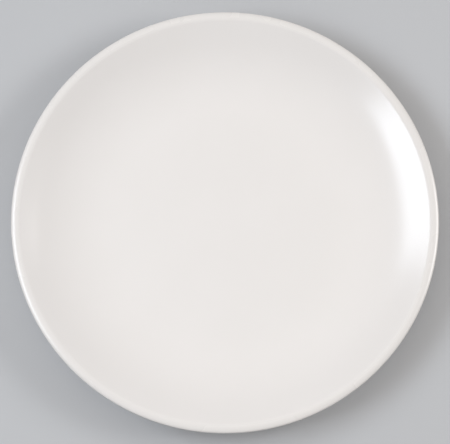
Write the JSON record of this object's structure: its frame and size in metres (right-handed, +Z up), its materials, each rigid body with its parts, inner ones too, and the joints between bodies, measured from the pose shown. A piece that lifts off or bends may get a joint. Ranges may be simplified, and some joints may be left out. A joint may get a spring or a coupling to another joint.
{
  "type": "salad plate",
  "caption": "Round coupe salad plate of glazed stoneware, with a flat well, a curved wall, a soft rolled lip and a bare foot ring round a glazed recess underneath.",
  "frame": {"origin": "centre of the plane that the foot ring stands on", "axes": "+Z up along the plate's axis, from the foot ring to the well; X and Y lie in the plane of the table"},
  "size_m": [0.21, 0.21, 0.02],
  "materials": {
    "bare_clay": "matte fired stoneware, bare on the foot ring",
    "white_glaze": "glossy warm white glaze"
  },
  "bodies": {
    "root": {"clay_body": "bare_clay", "glaze_coat": "white_glaze", "foot_well_glaze": "white_glaze"}
  },
  "joints": []
}
